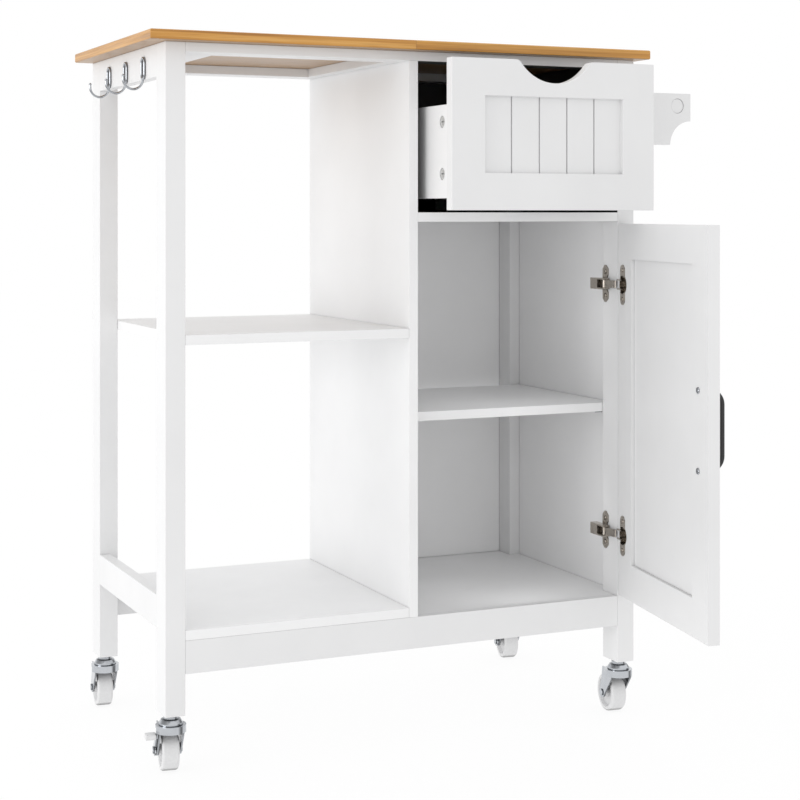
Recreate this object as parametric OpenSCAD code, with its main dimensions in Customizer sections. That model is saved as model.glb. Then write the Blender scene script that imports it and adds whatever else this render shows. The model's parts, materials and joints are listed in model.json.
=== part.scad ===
// Rolling kitchen island cart: an oiled wood top on a white frame, open shelves
// on the left, a drawer over a cabinet with a door on the right, a towel rail,
// three wire hooks and four swivel casters.
// The drawer is stored part way out and the door stored open.
// Lengths are in millimetres. X is the width, Y the depth (front is -Y), Z is up.

/* [Frame] */
// width over the legs
cart_w = 650; // [560:1:760]
// depth over the legs
cart_d = 346.5; // [300:0.5:450]
// height of the worktop above the floor
cart_h = 892; // [820:1:940]
// leg section along X
leg_x = 25; // [20:1:45]
// leg section along Y
leg_y = 38; // [25:1:50]
// height of the leg ends above the floor
leg_foot = 74; // [60:1:100]
// thickness of boards and flat rails
board_t = 12; // [9:1:18]
// thickness of the two left side rails
side_rail_t = 15; // [12:1:20]
// height of the standing rails
rail_h = 40; // [30:1:60]
// underside of the bottom rails above the floor
rail_low_z = 123.5; // [100:0.5:180]

/* [Worktop] */
// worktop overhang on the left
over_left = 24.5; // [0:0.5:60]
// worktop overhang at the front
over_front = 21.5; // [0:0.5:60]
// worktop overhang on the right
over_right = 13; // [0:0.5:60]
// radius of the worktop's top and bottom edges
top_edge = 1; // [0.5:0.5:3]

/* [Shelves and cabinet] */
// left face of the divider from the left side of the cart
divider_x = 319; // [250:1:400]
// top of the middle left shelf
mid_shelf_z = 529; // [400:1:650]
// top of the cabinet's loose shelf
cab_shelf_z = 418; // [300:1:550]
// underside of the deck below the drawer
deck_z = 664; // [600:1:720]
// inner face of the right side panel from the left side of the cart
side_panel_x = 641.5; // [630:0.5:644]
// thickness of the right side panel
side_panel_t = 6; // [4:0.5:8]
// thickness of the back panel
back_t = 5; // [3:0.5:8]

/* [Drawer] */
// how far the drawer stands out
drawer_out = 93.4; // [0:0.1:220]
// gap round the drawer front
drawer_gap = 2.5; // [1.5:0.1:4]
// thickness of the drawer front and the door
front_t = 15; // [12:1:20]
// length of the drawer box behind its front
drawer_len = 300; // [250:1:310]
// height of the drawer sides
drawer_side_h = 116.5; // [80:0.5:150]
// width of the plain border round the drawer's planks
drawer_border = 46; // [30:1:60]
// depth of the planked recess
plank_recess = 6; // [3:0.5:8]
// width of the grooves between planks
groove_w = 1.6; // [1:0.1:3]
// radius of the finger cut-out's arc
scoop_r = 60; // [45:1:90]
// depth of the finger cut-out
scoop_h = 28.5; // [18:0.5:36]

/* [Door] */
// angle that the door stands open
door_open = 80; // [0:1:95]
// gap at the door's two long edges
door_gap = 3; // [2:0.1:4]
// width of the plain border round the door's panel
door_border = 47; // [40:1:60]
// thickness of the door's panel
door_panel_t = 6; // [4:0.5:8]
// distance of each hinge from the door's nearer end
hinge_inset = 81; // [70:1:120]
// hole spacing of the pull handle
pull_span = 96; // [64:32:160]
// how far the pull stands off the door
pull_reach = 18; // [15:1:30]
// height of the pull's middle above the floor
pull_z = 416; // [340:1:480]
// distance of the pull from the door's free edge
pull_inset = 28; // [20:1:40]

/* [Towel rail and hooks] */
// how far the brackets stand out
bracket_reach = 95; // [60:1:120]
// height of the top of the brackets
bracket_top = 838; // [700:1:860]
// height of the brackets
bracket_h = 70; // [60:1:90]
// diameter of the towel rod
rod_d = 20; // [12:1:25]
// number of hooks
hook_n = 3; // [1:1:4]
// spacing of the hooks
hook_pitch = 81.5; // [60:0.5:90]
// depth at which the middle hook stands
hook_middle = 173; // [150:1:190]
// height at which the straight sides of a hook's eye start
hook_z = 847; // [830:1:850]
// length of the straight sides of a hook's eye
hook_eye = 13.5; // [8:0.5:20]
// wire diameter of the hooks
hook_wire = 3; // [2:0.5:4]

/* [Casters] */
// wheel diameter
wheel_d = 50; // [40:1:50]
// wheel width
wheel_w = 21; // [16:1:24]
// distance from the swivel axis back to the axle
trail = 20; // [12:1:24]
// direction of each fork from +Y towards +X: front left, front right, rear left, rear right
fork_dir = [8.6, 5.6, 5.3, 9.3]; // [-180:0.1:180]

/* [Hidden] */
$fn = 64;
eps = 0.01;

// heights and faces that several pieces share
under_top = cart_h - board_t;
flat_z = under_top - board_t;
rail_low_top = rail_low_z + rail_h;
rear_y = cart_d - leg_y;
bay_x = divider_x + board_t;
leg_right = cart_w - leg_x;
deck_top = deck_z + board_t;
back_y = cart_d - back_t;
// width of the flat rails under the worktop, and the left edges of the two that run front to back
flat_w = 38;
cross_x = [32.4, divider_x - 17];
// shelf pins: diameter, depth of their holes, places along Y and the height of their axes
pin_d = 5;
pin_hole = 8;
pin_l = 15;
pin_y = [70, rear_y - 32];
pin_z = cab_shelf_z - board_t - pin_d / 2;

// drawer outline, stood out by drawer_out
df_x0 = bay_x + drawer_gap;
df_x1 = leg_right - drawer_gap;
df_z0 = deck_top + drawer_gap;
df_z1 = flat_z - 2;
df_y = -drawer_out;
box_x0 = bay_x + 12.5;
box_x1 = leg_right - 12.5;
box_mid = (box_x0 + box_x1) / 2;
box_z0 = df_z0 + 15;
box_y0 = df_y + front_t;
box_y1 = box_y0 + drawer_len;
// width of the rail that guides the drawer
guide_w = 24;
// cam locks of the drawer: disc diameter, heights on the drawer side and distance behind its front
cam_d = 14.8;
cam_z = [30.5, 95.5];
cam_y = 34;

// door outline, closed
door_x0 = bay_x + door_gap;
door_x1 = leg_right - door_gap;
door_z0 = rail_low_top + 3;
door_z1 = deck_z - door_gap;
// axis that the door turns about on its concealed hinges
pole_x = leg_right + 9;
pole_y = 6.3;
hinge_z = [door_z0 + hinge_inset, door_z1 - hinge_inset];
cup_x = door_x1 - 17.5;
link_x = leg_right - 8;
link_y = 21.5;
link_turn = 0.9;
// hinge cup: diameter, depth, flange thickness and screw spacing from its middle
cup_d = 25.9;
cup_h = 11;
flange_t = 1.2;
cup_hole = 19;
// hinge plate: thickness, place along Y and screw spacing from its middle
plate_t = 1.5;
plate_y = 29.5;
plate_hole = 16;

// caster sizes that the fork, the axle and the brake share
stem_r = 5;
cheek_in = wheel_w / 2 + 2.6;
cheek_out = cheek_in + 2;
axle_end = cheek_out + 0.7;
lever_out = cheek_out + 2.6;
// extra axle length beside a brake lever
brake_room = 2.7;

// swivel axes of the casters: front left, front right, rear left, rear right
caster_at = [
    [leg_x / 2, leg_y / 2],
    [cart_w - leg_x / 2, leg_y / 2],
    [leg_x / 2, cart_d - leg_y / 2],
    [cart_w - leg_x / 2, cart_d - leg_y / 2]
];

// axis of the towel rod
rod_x = cart_w + bracket_reach - 21;
rod_z = bracket_top - 17;

// wire hooks: ball at the tip, bend radii of the eye and the J, and how far they stand out
hook_ball = hook_wire + 0.8;
hook_eye_r = 6.5;
hook_bend_r = 12.5;
hook_out = 2 * hook_bend_r + (hook_wire + hook_ball) / 2;

// centre of the stored outline, which is put over the origin
free_x = door_x0 - pole_x;
free_y = -pole_y;
out_y = pole_y + free_x * sin(door_open) + free_y * cos(door_open);
mid_x = (cart_w + bracket_reach - max(over_left, hook_out)) / 2;
caster_y = [
    for (i = [2, 3])
        cart_d - leg_y / 2 + (trail + wheel_d / 2) * cos(fork_dir[i])
        + (wheel_w / 2 - 3.4) * abs(sin(fork_dir[i]))
];
mid_y = (max(cart_d, caster_y[0], caster_y[1]) + min(-over_front, out_y, df_y)) / 2;

// paint and metal colours
white = [0.93, 0.93, 0.93];
oak = [0.80, 0.56, 0.30];
chrome = [0.78, 0.79, 0.81];
nickel = [0.55, 0.50, 0.44];
black = [0.06, 0.06, 0.06];
grey = [0.72, 0.71, 0.69];

// moves a piece drawn from the cart's front left corner into the part's frame
module placed() {
    translate([-mid_x, -mid_y, 0]) children();
}

// a block between two opposite corners
module block(a, b) {
    translate(a) cube(b - a);
}

// swings a piece drawn on the closed door out to the stored angle
module on_door() {
    placed()
    translate([pole_x, pole_y, 0])
    rotate(door_open)
    translate([-pole_x, -pole_y, 0])
    children();
}

// one board with its long top and bottom edges eased, extruded along X
module eased_board(x0, x1, y0, y1, z0, z1, e) {
    translate([x0, 0, 0])
    rotate([90, 0, 90])
    linear_extrude(height = x1 - x0)
    polygon([
        [y0 + e, z0], [y1 - e, z0], [y1, z0 + e], [y1, z1 - e],
        [y1 - e, z1], [y0 + e, z1], [y0, z1 - e], [y0, z0 + e]
    ]);
}

module tabletop() {
    color(oak)
    placed()
    intersection() {
        eased_board(-over_left, cart_w + over_right, -over_front, cart_d,
            under_top, cart_h, top_edge);
        translate([cart_w, 0, 0])
        rotate([0, 0, 90])
        eased_board(-over_front - 1, cart_d + 1, -over_right, cart_w + over_left,
            under_top, cart_h, top_edge);
    }
}

// a leg with a blind socket for its caster stem
module leg(i) {
    x0 = i % 2 == 0 ? 0 : leg_right;
    y0 = i < 2 ? 0 : rear_y;
    color(white)
    placed()
    difference() {
        block([x0, y0, leg_foot], [x0 + leg_x, y0 + leg_y, under_top]);
        translate([caster_at[i][0], caster_at[i][1], leg_foot - 1])
        cylinder(r = stem_r + 0.05, h = 37);
    }
}

module leg_front_left() {
    leg(0);
}

module leg_front_right() {
    leg(1);
}

module leg_rear_left() {
    leg(2);
}

module leg_rear_right() {
    leg(3);
}

// a white board or rail between two corners
module white_board(a, b) {
    color(white)
    placed()
    block(a, b);
}

module rail_top_front() {
    white_board([leg_x, 0, flat_z], [leg_right, leg_y, under_top]);
}

module rail_top_rear() {
    white_board([leg_x, rear_y, flat_z], [leg_right, cart_d, under_top]);
}

module rail_top_cross() {
    white_board([cross_x[1], leg_y, flat_z], [cross_x[1] + flat_w, rear_y, under_top]);
}

module rail_top_cross_left() {
    white_board([cross_x[0], leg_y, flat_z], [cross_x[0] + flat_w, rear_y, under_top]);
}

module rail_top_left() {
    white_board([0, leg_y, under_top - rail_h], [side_rail_t, rear_y, under_top]);
}

module rail_low_left() {
    white_board([0, leg_y, rail_low_top + 10], [side_rail_t, rear_y, rail_low_top + 10 + rail_h]);
}

module rail_low_front() {
    white_board([leg_x, 0, rail_low_z], [leg_right, board_t, rail_low_top]);
}

module rail_low_rear() {
    white_board([leg_x, cart_d - board_t, rail_low_z], [leg_right, cart_d, rail_low_top]);
}

module shelf_low_left() {
    white_board([leg_x, 0, rail_low_top], [divider_x, cart_d, rail_low_top + board_t]);
}

module shelf_mid_left() {
    white_board([leg_x, 0, mid_shelf_z - board_t], [divider_x, cart_d, mid_shelf_z]);
}

// a board that reaches past the right legs to the side panel
module eared_board(x0, y0, y1, z0, z1) {
    color(white)
    placed()
    union() {
        block([x0, y0, z0], [leg_right, y1, z1]);
        block([leg_right - eps, leg_y, z0], [side_panel_x, rear_y, z1]);
    }
}

module cabinet_floor() {
    eared_board(divider_x, board_t, cart_d - board_t, rail_low_top - board_t, rail_low_top);
}

module divider() {
    color(white)
    placed()
    difference() {
        block([divider_x, 0, rail_low_top], [bay_x, cart_d, flat_z]);
        for (y = pin_y)
            translate([bay_x - pin_hole, y, pin_z])
            rotate([0, 90, 0])
            cylinder(d = pin_d + 0.1, h = pin_hole + 1);
    }
}

module side_panel() {
    color(white)
    placed()
    difference() {
        block([side_panel_x, leg_y, rail_low_top - board_t],
            [side_panel_x + side_panel_t, rear_y, under_top]);
        for (y = pin_y)
            translate([side_panel_x - 1, y, pin_z])
            rotate([0, 90, 0])
            cylinder(d = pin_d + 0.1, h = side_panel_t);
    }
}

module back_panel() {
    white_board([bay_x, back_y, rail_low_top], [leg_right, cart_d, flat_z]);
}

module drawer_deck() {
    eared_board(bay_x, 0, back_y, deck_z, deck_top);
}

module cabinet_shelf() {
    white_board([bay_x + 0.5, leg_y + 1, cab_shelf_z - board_t],
        [side_panel_x - 0.5, rear_y - 1, cab_shelf_z]);
}

// four steel pins under the loose shelf
module shelf_pins() {
    color(chrome)
    placed()
    for (y = pin_y)
        for (x = [bay_x - pin_hole, side_panel_x + side_panel_t - 1 - pin_l])
            translate([x, y, pin_z])
            rotate([0, 90, 0])
            cylinder(d = pin_d, h = pin_l);
}

// black rail on the deck that the drawer's runner straddles
module drawer_guide() {
    color(black)
    placed()
    block([box_mid - guide_w / 2, front_t, deck_top],
        [box_mid + guide_w / 2, back_y, box_z0 + 0.2]);
}

// side outline of a towel bracket, with its hollow quarter-round corner
module bracket_outline() {
    difference() {
        square([bracket_reach, bracket_h]);
        translate([bracket_reach, 0]) circle(r = 32.5, $fn = 96);
        translate([rod_x - cart_w, rod_z - bracket_top + bracket_h])
        circle(d = rod_d + 0.1, $fn = 96);
    }
}

module towel_brackets() {
    color(white)
    placed()
    for (y = [18.5, cart_d - 6.5])
        translate([cart_w, y, bracket_top - bracket_h])
        rotate([90, 0, 0])
        linear_extrude(height = board_t)
        bracket_outline();
}

module towel_rod() {
    color(white)
    placed()
    translate([rod_x, 7.3, rod_z])
    rotate([-90, 0, 0])
    cylinder(d = rod_d, h = cart_d - 14.6);
}

// part turn of round wire, drawn in the XZ plane from angle a0
module wire_bend(r, a0, turn) {
    rotate([90, 0, 0])
    rotate([0, 0, a0])
    rotate_extrude(angle = turn, $fn = 64)
    translate([r, 0]) circle(d = hook_wire, $fn = 24);
}

// one wire hook: an eye flat against the rail and a J that stands out from its foot
module wire_hook() {
    translate([-hook_wire / 2, 0, 0])
    union() {
        rotate(90) translate([0, 0, hook_eye]) wire_bend(hook_eye_r, 0, 180);
        rotate(90) wire_bend(hook_eye_r, 180, 180);
        for (k = [-1, 1])
            translate([0, k * hook_eye_r, 0]) cylinder(d = hook_wire, h = hook_eye, $fn = 24);
        translate([0, 0, -hook_eye_r]) cylinder(d = hook_wire, h = 1.5, $fn = 24);
        translate([-hook_bend_r, 0, -hook_eye_r]) wire_bend(hook_bend_r, 180, 180);
        translate([-2 * hook_bend_r, 0, -hook_eye_r]) cylinder(d = hook_wire, h = 4, $fn = 24);
        translate([-2 * hook_bend_r, 0, 4 - hook_eye_r]) sphere(d = hook_ball, $fn = 32);
    }
}

module hooks() {
    color(chrome)
    placed()
    for (i = [0 : hook_n - 1])
        translate([0, hook_middle + (i - (hook_n - 1) / 2) * hook_pitch, hook_z])
        wire_hook();
}

// outline of the finger cut-out below the top edge: one arc with rounded shoulders
module scoop_outline() {
    f = 9;
    lift = scoop_r - scoop_h;
    x = sqrt(pow(scoop_r + f, 2) - pow(lift + f, 2));
    share = scoop_r / (scoop_r + f);
    translate([0, lift]) circle(r = scoop_r, $fn = 192);
    difference() {
        polygon([
            [-x, 5], [-x, 0], [-x * share, lift - (lift + f) * share],
            [x * share, lift - (lift + f) * share], [x, 0], [x, 5]
        ]);
        for (k = [-1, 1])
            translate([k * x, -f]) circle(r = f, $fn = 64);
    }
}

module drawer_front() {
    w = df_x1 - df_x0;
    h = df_z1 - df_z0;
    pw = (w - 2 * drawer_border) / 5;
    color(white)
    placed()
    translate([df_x0, df_y, df_z0])
    difference() {
        cube([w, front_t, h]);
        translate([drawer_border, -1, drawer_border])
        cube([w - 2 * drawer_border, plank_recess + 1, h - 2 * drawer_border]);
        for (i = [1 : 4])
            translate([drawer_border + i * pw - groove_w / 2, plank_recess - eps, drawer_border])
            cube([groove_w, 2.5, h - 2 * drawer_border]);
        translate([w / 2, front_t + 1, h])
        rotate([90, 0, 0])
        linear_extrude(height = front_t + 2)
        scoop_outline();
    }
}

// a drawer side with two blind holes for its cam locks
module drawer_side(x0, face) {
    color(white)
    placed()
    difference() {
        block([x0, box_y0, box_z0], [x0 + board_t, box_y1, box_z0 + drawer_side_h]);
        for (z = cam_z)
            translate([face > 0 ? x0 + board_t + 1 : x0 - 1, box_y0 + cam_y, box_z0 + z])
            rotate([0, 90 * -face, 0])
            cylinder(d = cam_d + 0.2, h = 11);
    }
}

module drawer_side_left() {
    drawer_side(box_x0, -1);
}

module drawer_side_right() {
    drawer_side(box_x1 - board_t, 1);
}

module drawer_back() {
    white_board([box_x0 + board_t, box_y1 - board_t, box_z0 + 9],
        [box_x1 - board_t, box_y1, box_z0 + drawer_side_h]);
}

module drawer_bottom() {
    white_board([box_x0 + board_t, box_y0, box_z0 + 4],
        [box_x1 - board_t, box_y1, box_z0 + 9]);
}

// one cam lock disc with a cross slot
module cam_lock() {
    difference() {
        cylinder(d = cam_d, h = 8.6);
        for (a = [0, 90])
            rotate(a)
            translate([-4.5, -0.7, 7])
            cube([9, 1.4, 3]);
    }
}

module cam_locks() {
    color(grey)
    placed()
    for (z = cam_z) {
        translate([box_x0 + 10, box_y0 + cam_y, box_z0 + z])
        rotate([0, -90, 0])
        cam_lock();
        translate([box_x1 - 10, box_y0 + cam_y, box_z0 + z])
        rotate([0, 90, 0])
        cam_lock();
    }
}

// channel under the drawer that straddles the guide with a small gap
module drawer_runner() {
    wide = guide_w / 2 + 6;
    slot = guide_w / 2 + 0.6;
    color(white)
    placed()
    difference() {
        block([box_mid - wide, box_y0 + 1, deck_top + 3], [box_mid + wide, box_y1, box_z0 + 4]);
        block([box_mid - slot, box_y0, deck_top], [box_mid + slot, box_y1 + 1, box_z0 + 0.8]);
    }
}

// door border with the window for its panel and two blind cup holes
module door_frame() {
    color(white)
    on_door()
    difference() {
        block([door_x0, 0, door_z0], [door_x1, front_t, door_z1]);
        block([door_x0 + door_border, -1, door_z0 + door_border],
            [door_x1 - door_border, front_t + 1, door_z1 - door_border]);
        for (z = hinge_z)
            translate([cup_x, front_t - cup_h, z])
            rotate([-90, 0, 0])
            cylinder(d = cup_d + 0.1, h = cup_h + 1);
        for (k = [-1, 1])
            translate([door_x0 + pull_inset, -1, pull_z + k * pull_span / 2])
            rotate([-90, 0, 0])
            cylinder(d = 4.4, h = front_t + 2);
    }
}

// panel set back from both faces, with plank grooves on its outer face
module door_panel() {
    x0 = door_x0 + door_border;
    x1 = door_x1 - door_border;
    z0 = door_z0 + door_border;
    z1 = door_z1 - door_border;
    pw = (x1 - x0) / 5;
    y0 = (front_t - door_panel_t) / 2;
    color(white)
    on_door()
    difference() {
        block([x0, y0, z0], [x1, y0 + door_panel_t, z1]);
        for (i = [1 : 4])
            translate([x0 + i * pw - groove_w / 2, y0 - eps, z0 - 1])
            cube([groove_w, 2, z1 - z0 + 2]);
    }
}

// bow handle: two feet, sloped ends and a flat bar
module pull_handle() {
    s = pull_span / 2;
    r = pull_reach;
    color(black)
    on_door()
    translate([door_x0 + pull_inset, 0, pull_z])
    difference() {
        translate([-4, 0, 0])
        rotate([90, 0, 90])
        linear_extrude(height = 8)
        polygon([
            [0, -s - 5], [0, -s + 5], [-r + 9, -s + 5], [-r + 5, -s + 13],
            [-r + 5, s - 13], [-r + 9, s - 5], [0, s - 5], [0, s + 5],
            [-r + 8, s + 3], [-r, s - 9], [-r, -s + 9], [-r + 8, -s - 3]
        ]);
        for (k = [-1, 1])
            translate([0, -6, k * s])
            rotate([-90, 0, 0])
            cylinder(d = 3.9, h = 7);
    }
}

// two machine screws through the door into the handle's feet
module pull_screws() {
    color(chrome)
    on_door()
    for (k = [-1, 1])
        translate([door_x0 + pull_inset, 0, pull_z + k * pull_span / 2])
        union() {
            translate([0, -5.5, 0]) rotate([-90, 0, 0]) cylinder(d = 3.8, h = front_t + 6);
            translate([0, front_t, 0]) rotate([-90, 0, 0]) cylinder(d1 = 8, d2 = 6, h = 1.6);
        }
}

// pressed cup and flange let into the door, with two prongs that reach towards the arm
module hinge_cup() {
    rotate([-90, 0, 0])
    difference() {
        union() {
            cylinder(d = cup_d, h = cup_h);
            translate([-7.5, -cup_hole, cup_h]) cube([15, 2 * cup_hole, flange_t]);
            for (k = [-1, 1])
                translate([0, cup_hole * k, cup_h]) cylinder(d = 15, h = flange_t);
        }
        translate([0, 0, 1]) cylinder(d = cup_d - 1.9, h = cup_h + 1);
        for (k = [-1, 1])
            translate([0, cup_hole * k, cup_h - 1]) cylinder(d = 3.6, h = 3);
    }
    rotate([-90, 0, 0])
    for (k = [-1, 1])
        translate([3, k * 6.05 - 0.75, cup_h]) cube([15, 1.5, 1.6]);
}

module hinge_cups() {
    color(nickel)
    on_door()
    for (z = hinge_z)
        translate([cup_x, front_t - cup_h, z])
        hinge_cup();
}

module hinge_cup_screws() {
    color(chrome)
    on_door()
    for (z = hinge_z)
        for (k = [-1, 1])
            translate([cup_x, front_t + flange_t, z + cup_hole * k])
            rotate([-90, 0, 0])
            cylinder(d1 = 6.4, d2 = 4.4, h = 1);
}

// the link that swings out of each arm into its cup; a is its far end with the door closed
module hinge_link() {
    a = [-22, -11.2];
    n = norm(a);
    union() {
        rotate(atan2(a[1], a[0]))
        translate([0, -0.8, -5])
        cube([n - 1, 1.6, 10]);
        translate([0, 0, -5]) cylinder(d = 4.4, h = 10, $fn = 32);
        translate([a[0] * (n - 1) / n, a[1] * (n - 1) / n, -5])
        cylinder(d = 2.2, h = 10, $fn = 32);
    }
}

module hinge_links() {
    color(nickel)
    placed()
    for (z = hinge_z)
        translate([link_x, link_y, z])
        rotate(door_open * link_turn)
        difference() {
            hinge_link();
            translate([0, 0, -6]) cylinder(d = 2.1, h = 12);
        }
}

// winged plate on the leg's inner face
module hinge_plate() {
    rotate([0, -90, 0])
    linear_extrude(height = plate_t)
    difference() {
        polygon([
            [-25, -1], [-20, -7], [-12, -7], [-9, -4.5], [9, -4.5], [12, -7], [20, -7], [25, -1],
            [25, 2], [20, 7], [-20, 7], [-25, 2]
        ]);
        for (k = [-1, 1])
            translate([plate_hole * k, 0]) circle(d = 3.6, $fn = 32);
    }
}

module hinge_plates() {
    color(nickel)
    placed()
    for (z = hinge_z)
        translate([leg_right, plate_y, z])
        hinge_plate();
}

module hinge_plate_screws() {
    color(chrome)
    placed()
    for (z = hinge_z)
        for (k = [-1, 1])
            translate([leg_right - plate_t, plate_y, z + plate_hole * k])
            rotate([0, -90, 0])
            cylinder(d1 = 6.4, d2 = 4.4, h = 1.2);
}

// channel arm with the pin that its link turns on
module hinge_arm() {
    difference() {
        block([leg_right - 11.5, link_y - 3, -7.5], [leg_right - plate_t, 52, 7.5]);
        block([leg_right - 12.5, link_y - 4, -5.5], [leg_right - 3.5, link_y + 13, 5.5]);
    }
    translate([link_x, link_y, -7.5]) cylinder(d = 2, h = 15);
}

module hinge_arms() {
    color(nickel)
    placed()
    for (z = hinge_z)
        translate([0, 0, z])
        hinge_arm();
}

// swivel stem with its bearing disc above the fork and its riveted end below
module caster_stem() {
    rotate_extrude()
    polygon([
        [0, 55], [7.5, 55], [7.5, 57.7], [stem_r, 57.7], [stem_r, 61.4], [14.5, 61.4],
        [14.5, 63.5], [12, 67.5], [9, 68.5], [9, 72], [6, leg_foot],
        [stem_r, leg_foot], [stem_r, 106], [4, 109], [0, 109]
    ]);
}

module caster_stems() {
    color(chrome)
    placed()
    for (p = caster_at)
        translate([p[0], p[1], 0])
        caster_stem();
}

// moves a piece of caster i, drawn with its trail along +Y, to its place
module on_fork(i) {
    placed()
    translate([caster_at[i][0], caster_at[i][1], 0])
    rotate(-fork_dir[i])
    children();
}

// one pressed cheek of a fork, drawn in the plane of the wheel
module fork_cheek() {
    translate([-cheek_out, 0, 0])
    rotate([90, 0, 90])
    linear_extrude(height = cheek_out - cheek_in)
    difference() {
        union() {
            polygon([[-11, 61], [18, 61], [20.5, 44], [26.6, 27.3], [14, 21.4], [-7, 47], [-11, 53]]);
            translate([trail, wheel_d / 2]) circle(r = 7, $fn = 48);
        }
        translate([trail, wheel_d / 2]) circle(d = 6.06, $fn = 48);
    }
}

// crown, front skirt and two cheeks
module fork(i) {
    color(chrome)
    on_fork(i)
    difference() {
        union() {
            difference() {
                translate([0, 0, 52]) cylinder(r = 18.5, h = 9);
                translate([0, 0, 51]) cylinder(r = 16.5, h = 7);
                translate([-19, -3, 51]) cube([38, 22, 7]);
            }
            fork_cheek();
            mirror([1, 0, 0]) fork_cheek();
        }
        translate([0, 0, 50]) cylinder(r = stem_r + 0.09, h = 12);
    }
}

module fork_front_left() {
    fork(0);
}

module fork_front_right() {
    fork(1);
}

module fork_rear_left() {
    fork(2);
}

module fork_rear_right() {
    fork(3);
}

// axle with a rivet head at each end; spare is the room for a brake lever on its left
module axle(i, spare) {
    color(chrome)
    on_fork(i)
    translate([-axle_end - spare, trail, wheel_d / 2])
    rotate([0, 90, 0])
    union() {
        cylinder(d = 6, h = 2 * axle_end + spare);
        translate([0, 0, -0.9]) cylinder(d = 9, h = 1.5);
        translate([0, 0, 2 * axle_end + spare - 0.6]) cylinder(d = 9, h = 1.5);
    }
}

module axle_front_left() {
    axle(0, brake_room);
}

module axle_front_right() {
    axle(1, 0);
}

module axle_rear_left() {
    axle(2, 0);
}

module axle_rear_right() {
    axle(3, brake_room);
}

// wheel with rounded tread corners, dished sides and a hub
module wheel(i) {
    r = wheel_d / 2;
    w = wheel_w / 2;
    color(white)
    on_fork(i)
    translate([0, trail, r])
    rotate([0, 90, 0])
    rotate_extrude($fn = 96)
    polygon([
        [3.06, -w - 1.8], [7, -w - 1.8], [7, -w + 5], [r - 7.5, -w + 5], [r - 5.5, -w],
        [r - 2.6, -w], [r - 1.1, -w + 0.7], [r - 0.3, -w + 1.9], [r, -w + 3.4],
        [r, w - 3.4], [r - 0.3, w - 1.9], [r - 1.1, w - 0.7], [r - 2.6, w],
        [r - 5.5, w], [r - 7.5, w - 5], [7, w - 5], [7, w + 1.8], [3.06, w + 1.8]
    ]);
}

module wheel_front_left() {
    wheel(0);
}

module wheel_front_right() {
    wheel(1);
}

module wheel_rear_left() {
    wheel(2);
}

module wheel_rear_right() {
    wheel(3);
}

// step bent out from a brake lever, which its pedal is pushed over
module pedal_step() {
    translate([-lever_out - 7, -3.5, 46.5]) cube([8, 9, 2]);
}

// side lever of a brake, which turns on the axle, with a step for its pedal
module brake_lever(i) {
    color(chrome)
    on_fork(i)
    difference() {
        union() {
            translate([-lever_out, 0, 0])
            rotate([90, 0, 90])
            linear_extrude(height = 2)
            union() {
                polygon([[14.5, 29], [25, 30], [8, 49.5], [-4, 51], [-4, 45.5], [3, 43.5]]);
                translate([trail, wheel_d / 2]) circle(r = 7, $fn = 48);
            }
            pedal_step();
        }
        translate([-lever_out - 1, trail, wheel_d / 2])
        rotate([0, 90, 0])
        cylinder(d = 6.12, h = 4);
    }
}

module brake_lever_front_left() {
    brake_lever(0);
}

module brake_lever_rear_right() {
    brake_lever(3);
}

// moulded pedal pushed over the lever's step
module brake_pedal(i) {
    color(white)
    on_fork(i)
    difference() {
        translate([-lever_out - 13, -6, 44.5]) cube([12.5, 14, 6]);
        pedal_step();
    }
}

module brake_pedal_front_left() {
    brake_pedal(0);
}

module brake_pedal_rear_right() {
    brake_pedal(3);
}

tabletop();
leg_front_left();
leg_front_right();
leg_rear_left();
leg_rear_right();
rail_top_front();
rail_top_rear();
rail_top_cross();
rail_top_cross_left();
rail_top_left();
rail_low_left();
rail_low_front();
rail_low_rear();
shelf_low_left();
shelf_mid_left();
cabinet_floor();
divider();
side_panel();
back_panel();
drawer_deck();
cabinet_shelf();
shelf_pins();
drawer_guide();
towel_brackets();
towel_rod();
hooks();
drawer_front();
drawer_side_left();
drawer_side_right();
drawer_back();
drawer_bottom();
cam_locks();
drawer_runner();
door_frame();
door_panel();
pull_handle();
pull_screws();
hinge_cups();
hinge_cup_screws();
hinge_links();
hinge_plates();
hinge_arms();
hinge_plate_screws();
caster_stems();
fork_front_left();
fork_front_right();
fork_rear_left();
fork_rear_right();
axle_front_left();
axle_front_right();
axle_rear_left();
axle_rear_right();
wheel_front_left();
wheel_front_right();
wheel_rear_left();
wheel_rear_right();
brake_lever_front_left();
brake_lever_rear_right();
brake_pedal_front_left();
brake_pedal_rear_right();
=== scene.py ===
"""Looks of the rolling kitchen island cart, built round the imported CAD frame.

The CAD boards and fittings keep their own meshes, with eased edges and their
finishes. The bow handle and the cross-head screws are rebuilt in mesh code.
"""
import json
import math

import bmesh
import bpy
from mathutils import Matrix, Vector


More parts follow.
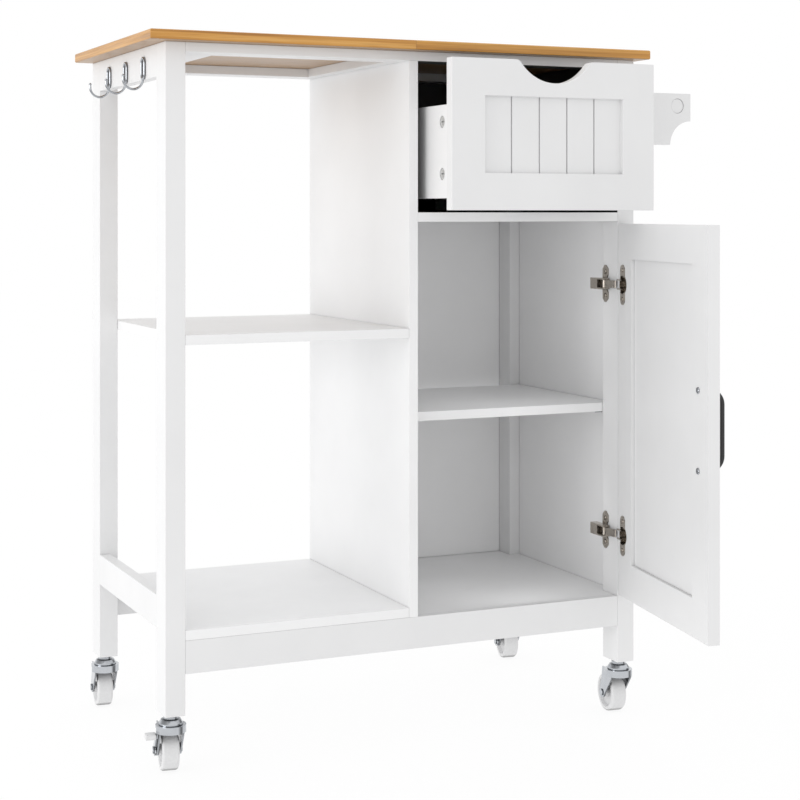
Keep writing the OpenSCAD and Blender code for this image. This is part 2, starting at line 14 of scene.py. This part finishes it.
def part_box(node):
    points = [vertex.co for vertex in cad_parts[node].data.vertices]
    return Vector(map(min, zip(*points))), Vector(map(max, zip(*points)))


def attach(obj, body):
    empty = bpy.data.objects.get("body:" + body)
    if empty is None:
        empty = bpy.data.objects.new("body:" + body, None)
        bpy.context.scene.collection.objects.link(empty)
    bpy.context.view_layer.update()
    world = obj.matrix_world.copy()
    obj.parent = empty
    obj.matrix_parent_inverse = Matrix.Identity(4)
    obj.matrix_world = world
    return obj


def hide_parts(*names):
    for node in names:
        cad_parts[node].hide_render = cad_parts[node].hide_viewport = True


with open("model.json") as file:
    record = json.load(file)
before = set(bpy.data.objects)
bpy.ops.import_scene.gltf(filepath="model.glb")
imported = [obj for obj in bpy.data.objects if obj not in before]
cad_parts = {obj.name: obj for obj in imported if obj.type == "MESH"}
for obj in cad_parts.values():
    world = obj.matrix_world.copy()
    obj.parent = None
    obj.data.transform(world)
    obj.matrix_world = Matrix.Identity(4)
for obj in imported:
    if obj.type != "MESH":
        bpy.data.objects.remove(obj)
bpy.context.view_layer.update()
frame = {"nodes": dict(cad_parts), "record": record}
nodes = frame["nodes"]

MM = 0.001
CORNERS = ("front_left", "front_right", "rear_left", "rear_right")


# ---------------------------------------------------------------- the frame

def low(node):
    """Lowest corner of a CAD node."""
    return Vector(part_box(node)[0])


def high(node):
    """Highest corner of a CAD node."""
    return Vector(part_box(node)[1])


# the cart's front left corner on the floor, which the camera is placed from
corner = Vector((low("leg_front_left").x, low("leg_front_left").y, 0.0))


# ---------------------------------------------------------------- materials

# numbers of the Mix node's sockets for plain values and for colours
MIX_FACTOR = 0
MIX_VALUES = (2, 3)
MIX_COLOURS = (6, 7)
MIX_COLOUR_RESULT = 2


class Shader:
    """A Principled material and short calls for the nodes that feed it."""

    def __init__(self, name, colour, roughness, metallic=0.0, specular=0.5):
        self.material = bpy.data.materials.new(name)
        self.material.use_nodes = True
        self.tree = self.material.node_tree
        self.bsdf = self.tree.nodes["Principled BSDF"]
        self.bsdf.inputs["Base Color"].default_value = (*colour, 1)
        self.bsdf.inputs["Roughness"].default_value = roughness
        self.bsdf.inputs["Metallic"].default_value = metallic
        self.bsdf.inputs["Specular IOR Level"].default_value = specular
        self.place = self.node("ShaderNodeTexCoord").outputs["Object"]

    def node(self, kind, **values):
        """A new node with its settings."""
        made = self.tree.nodes.new(kind)
        for key, value in values.items():
            setattr(made, key, value)
        return made

    def link(self, source, target):
        """Joins an output to an input."""
        self.tree.links.new(source, target)

    def feed(self, socket, value):
        """Links a socket or sets a plain value."""
        if isinstance(value, bpy.types.NodeSocket):
            self.link(value, socket)
        else:
            socket.default_value = value

    def maths(self, operation, a, b=0.0, clamp=False):
        """The result of one operation on two sockets or numbers."""
        made = self.node("ShaderNodeMath", operation=operation, use_clamp=clamp)
        self.feed(made.inputs[0], a)
        self.feed(made.inputs[1], b)
        return made.outputs[0]

    def stretched(self, scale, source=None):
        """The position scaled along each axis, for grain and brushing."""
        made = self.node("ShaderNodeMapping")
        made.inputs["Scale"].default_value = scale
        self.link(source or self.place, made.inputs["Vector"])
        return made.outputs[0]

    def noise(self, scale, detail=3.0, source=None, rough=0.55):
        """Cloudy noise from 0 to 1."""
        made = self.node("ShaderNodeTexNoise")
        made.inputs["Scale"].default_value = scale
        made.inputs["Detail"].default_value = detail
        made.inputs["Roughness"].default_value = rough
        self.link(source or self.place, made.inputs["Vector"])
        return made.outputs["Fac"]

    def remap(self, value, before, after):
        """Takes a value from one pair of limits to another."""
        made = self.node("ShaderNodeMapRange")
        for socket, number in zip(made.inputs, (value, *before, *after)):
            self.feed(socket, number)
        return made.outputs[0]

    def mix(self, factor, a, b):
        """A blend of two colours, each of them plain or from a socket."""
        made = self.node("ShaderNodeMix", data_type="RGBA")
        self.feed(made.inputs[MIX_FACTOR], factor)
        for number, colour in zip(MIX_COLOURS, (a, b)):
            plain = not isinstance(colour, bpy.types.NodeSocket)
            self.feed(made.inputs[number], (*colour, 1) if plain else colour)
        return made.outputs[MIX_COLOUR_RESULT]

    def mix_values(self, factor, a, b):
        """A blend of two numbers from sockets."""
        made = self.node("ShaderNodeMix", data_type="FLOAT")
        self.feed(made.inputs[MIX_FACTOR], factor)
        for number, value in zip(MIX_VALUES, (a, b)):
            self.feed(made.inputs[number], value)
        return made.outputs[0]

    def ramp(self, value, stops):
        """A colour ramp from a list of positions and colours."""
        made = self.node("ShaderNodeValToRGB")
        elements = made.color_ramp.elements
        while len(elements) < len(stops):
            elements.new(0.5)
        for element, (position, colour) in zip(elements, stops):
            element.position = position
            element.color = (*colour, 1)
        self.link(value, made.inputs[0])
        return made.outputs[0]

    def bump(self, height, distance, strength, onto=None):
        """A bumped normal, on top of another one if it is given."""
        made = self.node("ShaderNodeBump")
        made.inputs["Strength"].default_value = strength
        made.inputs["Distance"].default_value = distance
        self.link(height, made.inputs["Height"])
        if onto is not None:
            self.link(onto, made.inputs["Normal"])
        return made.outputs[0]

    def painted_crevice_shade(self, colour, dark, reach):
        """Painted shade: the colour, darkened where surfaces closer than a reach shade each other.
        """
        open_sky = self.node("ShaderNodeAmbientOcclusion", samples=8)
        open_sky.inputs["Distance"].default_value = reach
        closed = self.remap(open_sky.outputs["AO"], (0.15, 0.75), (1.0, 0.0))
        return self.mix(closed, colour, dark)

    def colour(self, socket):
        """Feeds the surface's colour."""
        self.link(socket, self.bsdf.inputs["Base Color"])

    def roughness(self, socket):
        """Feeds the surface's roughness."""
        self.link(socket, self.bsdf.inputs["Roughness"])

    def normal(self, socket):
        """Feeds the surface's normal."""
        self.link(socket, self.bsdf.inputs["Normal"])


# colours are linear, lengths in metres
WHITE = (0.785, 0.785, 0.788)
BOARD_WHITE = (0.86, 0.86, 0.863)
# painted shade that fills the drawer bay
BAY_PAINTED_SHADE = (0.012, 0.012, 0.013)
# the colour of the painted shade on white paint where surfaces come close
PAINT_SHADE = (0.60, 0.60, 0.605)
PAINT_ROUGHNESS = 0.4
# how near surfaces must come for the painted crevice shade, on paint and on fittings
PAINT_SHADE_REACH = 0.006
FITTING_SHADE_REACH = 0.009
# how far into the boards round the drawer bay its painted shade, in black, reaches
BAY_SKIN = 0.0006
# the worktop's strips, and their dark seams as shares of a strip's width and length
STRIP_WIDTH = 0.046
STRIP_LENGTH = 0.52
SEAM_SHARE = 0.006
END_SHARE = 0.0007
# how far the grain of one strip may be moved from its neighbour's
GRAIN_SHIFT = (3.0, 3.0, 3.0)
# the least part of a normal along an axis for a face that counts as square to it
SQUARE_ON = 0.8
# where the painted reflections, bands of light and dark, lie on chrome and nickel plate
BAND_DIRECTION = (1.5, 1.1, 2.6)
BAND_START = 0.35


def dimmed(colour, share):
    """A share of a colour's brightness."""
    return tuple(c * share for c in colour)


def paint_nodes(shader, tint):
    """Sprayed satin paint: faint mottling, an orange-peel skin and the grain below it, with painted
    shade where surfaces come close.
    """
    mottle = shader.noise(scale=5.0, detail=4.0)
    colour = shader.mix(shader.remap(mottle, (0.35, 0.65), (0.0, 1.0)), dimmed(tint, 0.955), tint)
    scuffs = shader.noise(scale=1.0, detail=6.0, source=shader.stretched((60, 60, 25)), rough=0.7)
    shader.roughness(shader.remap(scuffs, (0.3, 0.7), (0.34, 0.46)))
    peel = shader.bump(shader.noise(scale=900.0, detail=2.0), distance=0.00012, strength=0.35)
    grain = shader.noise(scale=120.0)
    shader.normal(shader.bump(grain, distance=0.0003, strength=0.12, onto=peel))
    # painted shade where surfaces come close
    return shader.painted_crevice_shade(colour, PAINT_SHADE, PAINT_SHADE_REACH)


def white_paint(name, tint):
    """White paint all over."""
    shader = Shader(name, tint, PAINT_ROUGHNESS)
    shader.colour(paint_nodes(shader, tint))
    return shader.material


def inside(shader, lower, upper):
    """1 where the position lies between two corners, else 0."""
    axes = shader.node("ShaderNodeSeparateXYZ")
    shader.link(shader.place, axes.inputs[0])
    mask = None
    for axis in range(3):
        over = shader.maths("GREATER_THAN", axes.outputs[axis], lower[axis])
        under = shader.maths("LESS_THAN", axes.outputs[axis], upper[axis])
        both = shader.maths("MULTIPLY", over, under)
        mask = both if mask is None else shader.maths("MULTIPLY", mask, both)
    return mask


def paint_with_bay_shade(name, tint):
    """White paint with painted shade: the drawer bay's inner faces in black."""
    shader = Shader(name, tint, PAINT_ROUGHNESS)
    lower = Vector((high("divider").x - BAY_SKIN, low("leg_front_right").y + BAY_SKIN,
                    high("drawer_deck").z - BAY_SKIN))
    upper = Vector((low("side_panel").x + BAY_SKIN, low("back_panel").y + BAY_SKIN,
                    low("tabletop").z + BAY_SKIN))
    mask = inside(shader, lower, upper)
    # painted shade: the inside of the drawer bay in black
    shader.colour(shader.mix(mask, paint_nodes(shader, tint), BAY_PAINTED_SHADE))
    return shader.material


def strip_wood(name):
    """Lacquered strip wood: staggered strips of differing tone, grain along X and banded ends, with
    painted shade on the underside.
    """
    shader = Shader(name, (0.6, 0.28, 0.09), 0.38)
    shader.bsdf.inputs["Coat Weight"].default_value = 0.2
    shader.bsdf.inputs["Coat Roughness"].default_value = 0.2
    facing = shader.node("ShaderNodeSeparateXYZ")
    shader.link(shader.node("ShaderNodeTexCoord").outputs["Normal"], facing.inputs[0])
    banded = shader.maths("GREATER_THAN", shader.maths("ABSOLUTE", facing.outputs[0]), SQUARE_ON)
    below = shader.maths("LESS_THAN", facing.outputs[2], -SQUARE_ON)
    axes = shader.node("ShaderNodeSeparateXYZ")
    shader.link(shader.place, axes.inputs[0])
    across = shader.maths("DIVIDE", axes.outputs[1], STRIP_WIDTH)
    row = shader.maths("FLOOR", across)
    slip = shader.node("ShaderNodeTexWhiteNoise", noise_dimensions="1D")
    shader.link(row, slip.inputs["W"])
    lengths = shader.maths("DIVIDE", axes.outputs[0], STRIP_LENGTH)
    along = shader.maths("ADD", lengths, slip.outputs[0])
    strip = shader.node("ShaderNodeCombineXYZ")
    shader.link(row, strip.inputs[0])
    shader.link(shader.maths("FLOOR", along), strip.inputs[1])
    tone = shader.node("ShaderNodeTexWhiteNoise", noise_dimensions="3D")
    shader.link(strip.outputs[0], tone.inputs["Vector"])
    shifted = shader.node("ShaderNodeVectorMath", operation="MULTIPLY_ADD")
    shader.link(tone.outputs["Color"], shifted.inputs[0])
    shifted.inputs[1].default_value = GRAIN_SHIFT
    shader.link(shader.place, shifted.inputs[2])

    def grain(along_scale, across_scale, detail):
        """Streaks along X on the strips and along Y on the banded ends."""
        on_strips = shader.stretched((along_scale, across_scale, across_scale), shifted.outputs[0])
        on_bands = shader.stretched((across_scale, along_scale, across_scale))
        strips = shader.noise(scale=1.0, detail=detail, source=on_strips, rough=0.6)
        bands = shader.noise(scale=1.0, detail=detail, source=on_bands, rough=0.6)
        return shader.mix_values(banded, strips, bands)

    figure = grain(along_scale=2.5, across_scale=170.0, detail=6.0)
    pores = grain(along_scale=16.0, across_scale=900.0, detail=4.0)
    colour = shader.ramp(figure, [
        (0.36, (0.31, 0.125, 0.016)), (0.46, (0.50, 0.225, 0.034)),
        (0.55, (0.58, 0.275, 0.048)), (0.66, (0.68, 0.37, 0.095))])
    toned = shader.remap(tone.outputs[0], (0.0, 1.0), (0.0, 0.25))
    colour = shader.mix(toned, colour, (0.42, 0.19, 0.035))
    speckled = shader.remap(pores, (0.54, 0.70), (0.0, 0.5))
    colour = shader.mix(speckled, colour, (0.27, 0.11, 0.02))
    colour = shader.mix(shader.maths("MULTIPLY", banded, 0.1), colour, (0.66, 0.46, 0.19))
    # painted shade: faces that look down are darkened
    colour = shader.mix(shader.maths("MULTIPLY", below, 0.65), colour, (0.27, 0.19, 0.12))
    seam = shader.maths("LESS_THAN", shader.maths("PINGPONG", across, 0.5), SEAM_SHARE)
    end = shader.maths("LESS_THAN", shader.maths("PINGPONG", along, 0.5), END_SHARE)
    joint = shader.maths("MULTIPLY", shader.maths("MAXIMUM", seam, end),
                         shader.maths("SUBTRACT", 0.45, banded, clamp=True))
    shader.colour(shader.mix(joint, colour, (0.22, 0.09, 0.03)))
    shader.roughness(shader.remap(pores, (0.3, 0.75), (0.30, 0.48)))
    shader.normal(shader.bump(pores, distance=0.00012, strength=0.3))
    return shader.material


def bright_metal(name, colour, dark, roughness, brush=(260, 260, 260)):
    """Plated steel: fine brushing, handling marks, painted reflections as light and dark bands set
    by the way the surface faces, and painted shade where parts come close.
    """
    shader = Shader(name, colour, roughness, metallic=1.0)
    lines = shader.noise(scale=1.0, detail=4.0, source=shader.stretched(brush), rough=0.6)
    marks = shader.noise(scale=45.0, detail=5.0)
    # painted reflection: light and dark bands that follow which way the surface faces
    turned = shader.node("ShaderNodeVectorMath", operation="DOT_PRODUCT")
    shader.link(shader.node("ShaderNodeTexCoord").outputs["Normal"], turned.inputs[0])
    turned.inputs[1].default_value = BAND_DIRECTION
    band = shader.maths("PINGPONG", shader.maths("ADD", turned.outputs["Value"], BAND_START), 1.0)
    reflections_and_marks = shader.ramp(band, [
        (0.0, dark), (0.2, dimmed(colour, 0.4)), (0.42, colour), (1.0, colour)])
    handled = shader.remap(marks, (0.35, 0.7), (0.0, 0.35))
    reflections_and_marks = shader.mix(handled, reflections_and_marks, dimmed(colour, 0.72))
    # painted shade where parts come close
    shader.colour(shader.painted_crevice_shade(reflections_and_marks, dark, FITTING_SHADE_REACH))
    shader.roughness(shader.remap(lines, (0.3, 0.7), (roughness * 0.75, roughness * 1.5)))
    shader.normal(shader.bump(lines, distance=0.00005, strength=0.25))
    return shader.material


def moulded(name, colour, roughness):
    """Moulded plastic or powder coat: fine speckle, a soft surface texture and painted shade in
    hollows.
    """
    shader = Shader(name, colour, roughness)
    speckle = shader.noise(scale=420.0, detail=4.0)
    speckled = shader.remap(speckle, (0.3, 0.7), (0.0, 1.0))
    body = shader.mix(speckled, dimmed(colour, 0.93), colour)
    # painted shade in hollows and where parts come close
    shader.colour(shader.painted_crevice_shade(body, dimmed(colour, 0.22), FITTING_SHADE_REACH))
    patches = shader.noise(scale=60.0)
    shader.roughness(shader.remap(patches, (0.3, 0.7), (roughness * 0.85, roughness * 1.2)))
    shader.normal(shader.bump(speckle, distance=0.00008, strength=0.3))
    return shader.material


PAINT = white_paint("white_paint", WHITE)
BOARD = white_paint("white_board", BOARD_WHITE)
SHADED_BAY_PAINT = paint_with_bay_shade("white_paint_painted_shade_bay", WHITE)
SHADED_BAY_BOARD = paint_with_bay_shade("white_board_painted_shade_bay", BOARD_WHITE)
WOOD = strip_wood("lacquered_wood")
CHROME = bright_metal("chrome_plate", (0.56, 0.58, 0.61), (0.02, 0.02, 0.022), roughness=0.12)
NICKEL = bright_metal("nickel_plate", (0.56, 0.51, 0.45), (0.05, 0.04, 0.03), roughness=0.22,
                      brush=(900, 900, 120))
ZINC = moulded("cast_zinc", (0.55, 0.55, 0.54), 0.5)
BLACK = moulded("black_powder_coat", (0.018, 0.018, 0.019), 0.38)
NYLON = moulded("white_nylon", (0.72, 0.72, 0.725), 0.36)


# ---------------------------------------------------------------- mesh tools

# angles in degrees, lengths in metres
SMOOTH_ANGLE = 32.0
FLAT_ANGLE = 0.5
WELD_REACH = 1e-6
MERGE_REACH = 1e-7
NORMAL_WEIGHT = 80


def smooth(obj):
    """Smooth shading with edges kept sharp above the smoothing angle."""
    mesh = obj.data
    mesh.polygons.foreach_set("use_smooth", [True] * len(mesh.polygons))
    mesh.set_sharp_from_angle(angle=math.radians(SMOOTH_ANGLE))


def ease(obj, width, segments):
    """Eases a piece's edges, with its flat faces merged first so that they stay flat."""
    weld = obj.modifiers.new("weld", "WELD")
    weld.merge_threshold = WELD_REACH
    flat = obj.modifiers.new("flat", "DECIMATE")
    flat.decimate_type = "DISSOLVE"
    flat.angle_limit = math.radians(FLAT_ANGLE)
    bevel = obj.modifiers.new("ease", "BEVEL")
    bevel.width = width
    bevel.segments = segments
    bevel.limit_method = "ANGLE"
    bevel.angle_limit = math.radians(SMOOTH_ANGLE)
    normals = obj.modifiers.new("normals", "WEIGHTED_NORMAL")
    normals.keep_sharp = True
    normals.weight = NORMAL_WEIGHT


def finish_piece(mesh, name, material, body, replaced):
    data = bpy.data.meshes.new(name)
    bmesh.ops.remove_doubles(mesh, verts=mesh.verts, dist=MERGE_REACH)
    bmesh.ops.recalc_face_normals(mesh, faces=mesh.faces)
    mesh.to_mesh(data)
    mesh.free()
    obj = bpy.data.objects.new(name, data)
    bpy.context.scene.collection.objects.link(obj)
    data.materials.append(material)
    smooth(obj)
    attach(obj, body)
    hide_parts(*replaced)


def keep(node, material):
    """Keeps a CAD node, with its own material and smooth curved faces."""
    obj = nodes[node]
    obj.data.materials.clear()
    obj.data.materials.append(material)
    smooth(obj)
    return obj


# ---------------------------------------------------------------- camera and light

# lengths in metres, places from the cart's front left corner on the floor, turns in degrees
CAMERA_PLACE = Vector((-0.5961, -2.0057, 0.675))
CAMERA_TURN = -24.22
SENSOR_WIDTH = 36
FOCAL_LENGTH = 78.45
LENS_SHIFT = -0.2336
NEAREST = 0.05
FARTHEST = 60
FLOOR_HALF_WIDTH = 14
FLOOR_GLOW = 0.9

# the lamps: name, place, target and disk size in metres in the row frame, power in watts
LAMPS = (
    ("left", (-3.0, -0.4, 0.5), (0, 0, 0.5), 1.8, 26),
    ("cabinet", (0.14, -0.03, 0.27), (0.15, 1, 0.22), 0.18, 0.06),
    ("cabinet", (0.14, -0.03, 0.55), (0.15, 1, 0.50), 0.18, 0.06),
)


def make_camera():
    """Level camera at the picture's place, its lens shifted down to keep uprights vertical."""
    data = bpy.data.cameras.new("camera")
    camera = bpy.data.objects.new("camera", data)
    bpy.context.scene.collection.objects.link(camera)
    camera.location = corner + CAMERA_PLACE
    camera.rotation_euler = (math.radians(90), 0, math.radians(CAMERA_TURN))
    data.sensor_width = SENSOR_WIDTH
    data.lens = FOCAL_LENGTH
    data.shift_y = LENS_SHIFT
    data.clip_start = NEAREST
    data.clip_end = FARTHEST
    bpy.context.scene.camera = camera
    bpy.context.scene.view_settings.view_transform = "Standard"


def area_light(name, place, target, size, power):
    """A disk lamp that faces its target."""
    data = bpy.data.lights.new(name, "AREA")
    data.shape = "DISK"
    data.size = size
    data.energy = power
    light = bpy.data.objects.new(name, data)
    light.location = place
    light.rotation_euler = (Vector(target) - Vector(place)).to_track_quat("-Z", "Y").to_euler()
    bpy.context.scene.collection.objects.link(light)


def make_stage():
    """White surroundings, a pale floor and soft lamps."""
    world = bpy.data.worlds.new("white_room")
    world.use_nodes = True
    world.node_tree.nodes["Background"].inputs["Color"].default_value = (1, 1, 1, 1)
    world.node_tree.nodes["Background"].inputs["Strength"].default_value = 1.0
    bpy.context.scene.world = world
    mesh = bmesh.new()
    bmesh.ops.create_grid(mesh, x_segments=1, y_segments=1, size=FLOOR_HALF_WIDTH)
    data = bpy.data.meshes.new("floor")
    mesh.to_mesh(data)
    mesh.free()
    floor = bpy.data.objects.new("floor", data)
    bpy.context.scene.collection.objects.link(floor)
    shader = Shader("pale_floor", (0.1, 0.1, 0.1), 0.9, specular=0.0)
    clouds = shader.noise(scale=2.0)
    shader.colour(shader.mix(clouds, (0.095, 0.095, 0.095), (0.105, 0.105, 0.105)))
    shader.bsdf.inputs["Emission Color"].default_value = (1, 1, 1, 1)
    shader.bsdf.inputs["Emission Strength"].default_value = FLOOR_GLOW
    data.materials.append(shader.material)
    for lamp in LAMPS:
        area_light(*lamp)


make_camera()
make_stage()


# ---------------------------------------------------------------- kept boards and fittings

PAINTED = [
    "leg_front_left", "leg_rear_left", "rail_top_rear", "rail_top_cross", "rail_top_cross_left",
    "rail_top_left", "rail_low_left", "rail_low_front", "rail_low_rear", "towel_brackets",
    "drawer_front", "door_frame", "door_panel",
]
BOARDS = [
    "shelf_low_left", "shelf_mid_left", "cabinet_floor", "cabinet_shelf",
    "drawer_side_left", "drawer_side_right", "drawer_back", "drawer_bottom", "drawer_runner",
]
# the parts round the drawer bay, which carry its painted shade
SHADED_BAY_PAINTED = ["rail_top_front", "leg_front_right", "leg_rear_right"]
SHADED_BAY_BOARDS = ["divider", "side_panel", "back_panel", "drawer_deck"]
FINISHES = (
    (["tabletop"], WOOD), (["drawer_guide"], BLACK), (PAINTED, PAINT), (BOARDS, BOARD),
    (SHADED_BAY_PAINTED, SHADED_BAY_PAINT), (SHADED_BAY_BOARDS, SHADED_BAY_BOARD),
)
BOARD_EASE = 0.0007
BOARD_EASE_STEPS = 3
FITTING_EASE_STEPS = 2

for names, material in FINISHES:
    for board in names:
        ease(keep(board, material), BOARD_EASE, BOARD_EASE_STEPS)

# each kept fitting with its finish and the rounding of its edges in metres
FITTINGS = [
    ("towel_rod", PAINT, 0.001), ("cam_locks", ZINC, 0.0003), ("shelf_pins", CHROME, 0.0005),
    ("hinge_cups", NICKEL, 0.0003), ("hinge_links", NICKEL, 0.0003),
    ("hinge_plates", NICKEL, 0.0003), ("hinge_arms", NICKEL, 0.0003),
    ("brake_lever_front_left", CHROME, 0.0004), ("brake_lever_rear_right", CHROME, 0.0004),
    ("brake_pedal_front_left", NYLON, 0.0008), ("brake_pedal_rear_right", NYLON, 0.0008),
]
for caster in CORNERS:
    FITTINGS += [("fork_" + caster, CHROME, 0.0005), ("axle_" + caster, CHROME, 0.0004),
                 ("wheel_" + caster, NYLON, 0.0006)]
for node, material, width in FITTINGS:
    ease(keep(node, material), width, FITTING_EASE_STEPS)
# bent and turned rods, which have no edges to ease
for node in ("hooks", "caster_stems"):
    keep(node, CHROME)


# ---------------------------------------------------------------- handle and screws

# lengths in millimetres, places from the cart's front left corner with the door closed
HANDLE_X = 362.0
HANDLE_Z = 416.0
HANDLE_REACH = 15.4
HANDLE_SPAN = 48.0
HANDLE_FOOT = 5.0
HANDLE_SLOPE = 11.0
HANDLE_BEND = 6.5
BEND_STEPS = 8
BAR_WIDTH = 8.0
BAR_DEPTH_AT_DOOR = 8.2
BAR_DEPTH_LOST = 3.2
BAR_SQUARENESS = 3.2
BAR_SIDES = 24

# a screw head's radius and height
PULL_SCREW = (4.0, 2.0)
HINGE_SCREW = (3.2, 1.3)
HINGE_HEIGHTS = (247.5, 580.0)
PULL_SCREW_Y = 15.0
CUP_SCREW_X = 604.5
CUP_SCREW_Y = 16.2
CUP_SCREW_SPAN = 19.0
PLATE_SCREW_X = 623.5
PLATE_SCREW_Y = 29.5
PLATE_SCREW_SPAN = 16.0

# a screw head: shares of its radius or height, and how finely it is cut
HEAD_RINGS = 14
HEAD_SIDES = 64
RIM_HEIGHT = 0.35
RECESS_ARM = 0.17
RECESS_REACH = 0.62
RECESS_FLOOR = 0.35
RECESS_RISE = 0.25

joints = {j["name"]: j for j in frame["record"]["behaviour"]["joints"]}


def on_cart():
    """Takes a piece drawn in cart millimetres to the row frame."""
    return Matrix.Translation(corner) @ Matrix.Scale(MM, 4)


def on_door():
    """Takes a piece drawn on the closed door, in cart millimetres, to where the door stands."""
    hinge = joints["door_hinge"]
    pole = Vector(hinge["pos_m"])
    turn = Matrix.Rotation(math.radians(-hinge["range_deg"][0]), 4, "Z")
    return Matrix.Translation(pole) @ turn @ Matrix.Translation(-pole) @ on_cart()


def bridge(mesh, first, second):
    """Faces between two rings with the same number of points."""
    count = len(first)
    for k in range(count):
        after = (k + 1) % count
        mesh.faces.new((first[k], first[after], second[after], second[k]))


def sweep(mesh, path, sections):
    """A closed tube: one ring of points per step of the path, capped at both ends."""
    rings = []
    for centre, ring in zip(path, sections):
        rings.append([mesh.verts.new(centre + point) for point in ring])
    for first, second in zip(rings, rings[1:]):
        bridge(mesh, first, second)
    mesh.faces.new(rings[0])
    mesh.faces.new(reversed(rings[-1]))


def rounded_ring(width, depth, up):
    """A rounded rectangle round the origin, spanned by the X axis and a direction."""
    ring = []
    for k in range(BAR_SIDES):
        angle = 2 * math.pi * k / BAR_SIDES
        c = math.cos(angle)
        s = math.sin(angle)
        x = math.copysign(abs(c) ** (2 / BAR_SQUARENESS), c) * width / 2
        y = math.copysign(abs(s) ** (2 / BAR_SQUARENESS), s) * depth / 2
        ring.append(Vector((1, 0, 0)) * x + up * y)
    return ring


def fillet_path(points, radius):
    """A polyline whose inner corners are rounded."""
    points = [Vector(point) for point in points]
    path = [points[0]]
    for before, here, after in zip(points, points[1:], points[2:]):
        reach = min(radius, (before - here).length / 2, (after - here).length / 2)
        start = here + (before - here).normalized() * reach
        end = here + (after - here).normalized() * reach
        for k in range(BEND_STEPS + 1):
            t = k / BEND_STEPS
            path.append(start.lerp(here, t).lerp(here.lerp(end, t), t))
    path.append(points[-1])
    return path


def make_handle():
    """Bow handle: a rounded bar on two feet that slope out from the door."""
    x = HANDLE_X
    low_z = HANDLE_Z - HANDLE_SPAN
    high_z = HANDLE_Z + HANDLE_SPAN
    points = [
        (x, 0, low_z), (x, -HANDLE_FOOT, low_z), (x, -HANDLE_REACH, low_z + HANDLE_SLOPE),
        (x, -HANDLE_REACH, high_z - HANDLE_SLOPE), (x, -HANDLE_FOOT, high_z), (x, 0, high_z),
    ]
    path = fillet_path(points, HANDLE_BEND)
    sections = []
    for k, here in enumerate(path):
        ahead = path[min(k + 1, len(path) - 1)] - path[max(k - 1, 0)]
        up = ahead.normalized().cross(Vector((1, 0, 0)))
        share = min(1.0, -here.y / HANDLE_REACH)
        sections.append(rounded_ring(BAR_WIDTH, BAR_DEPTH_AT_DOOR - BAR_DEPTH_LOST * share, up))
    mesh = bmesh.new()
    sweep(mesh, path, sections)
    bmesh.ops.transform(mesh, matrix=on_door(), verts=mesh.verts)
    finish_piece(mesh, "bow_handle", BLACK, "door", ["pull_handle"])


def head_height(x, y, share, radius, height):
    """Height of a pan head with a cross recess at a place, a share of its radius from its middle."""
    far = max(abs(x), abs(y))
    near = min(abs(x), abs(y))
    if near < radius * RECESS_ARM and far < radius * RECESS_REACH:
        rise = (far / (radius * RECESS_REACH)) ** 2
        return height * RECESS_FLOOR + RECESS_RISE * height * rise
    dome = math.sqrt(max(0.0, 1 - share ** 4))
    return RIM_HEIGHT * height + (1 - RIM_HEIGHT) * height * dome


def cross_head(mesh, matrix, radius, height):
    """A pan head with a cross recess, its flat side on the XY plane."""
    directions = []
    for k in range(HEAD_SIDES):
        angle = 2 * math.pi * (k + 0.5) / HEAD_SIDES
        directions.append((math.cos(angle), math.sin(angle)))
    centre = mesh.verts.new(matrix @ Vector((0, 0, height * RECESS_FLOOR)))
    rings = []
    for step in range(1, HEAD_RINGS + 1):
        share = step / HEAD_RINGS
        ring = []
        for c, s in directions:
            x = radius * share * c
            y = radius * share * s
            z = head_height(x, y, share, radius, height)
            ring.append(mesh.verts.new(matrix @ Vector((x, y, z))))
        rings.append(ring)
    foot = [mesh.verts.new(matrix @ Vector((radius * c, radius * s, 0))) for c, s in directions]
    rings.append(foot)
    for k in range(HEAD_SIDES):
        mesh.faces.new((centre, rings[0][k], rings[0][(k + 1) % HEAD_SIDES]))
    for first, second in zip(rings, rings[1:]):
        bridge(mesh, first, second)
    mesh.faces.new(reversed(foot))


def facing(place, axis):
    """Matrix that stands a head at a place, looking along an axis."""
    turn = Vector(axis).to_track_quat("Z", "Y").to_matrix().to_4x4()
    return Matrix.Translation(Vector(place)) @ turn


def make_screws():
    """Cross-head screws on the pull, the hinge cups and the hinge plates."""
    mesh = bmesh.new()
    for z in (HANDLE_Z - HANDLE_SPAN, HANDLE_Z + HANDLE_SPAN):
        cross_head(mesh, facing((HANDLE_X, PULL_SCREW_Y, z), (0, 1, 0)), *PULL_SCREW)
    bmesh.ops.transform(mesh, matrix=on_door(), verts=mesh.verts)
    finish_piece(mesh, "pull_screw_heads", CHROME, "door", ["pull_screws"])
    mesh = bmesh.new()
    for z in HINGE_HEIGHTS:
        for shift in (-CUP_SCREW_SPAN, CUP_SCREW_SPAN):
            place = (CUP_SCREW_X, CUP_SCREW_Y, z + shift)
            cross_head(mesh, facing(place, (0, 1, 0)), *HINGE_SCREW)
    bmesh.ops.transform(mesh, matrix=on_door(), verts=mesh.verts)
    finish_piece(mesh, "cup_screw_heads", NICKEL, "door", ["hinge_cup_screws"])
    mesh = bmesh.new()
    for z in HINGE_HEIGHTS:
        for shift in (-PLATE_SCREW_SPAN, PLATE_SCREW_SPAN):
            place = (PLATE_SCREW_X, PLATE_SCREW_Y, z + shift)
            cross_head(mesh, facing(place, (-1, 0, 0)), *HINGE_SCREW)
    bmesh.ops.transform(mesh, matrix=on_cart(), verts=mesh.verts)
    finish_piece(mesh, "plate_screw_heads", NICKEL, "cart", ["hinge_plate_screws"])


make_handle()
make_screws()
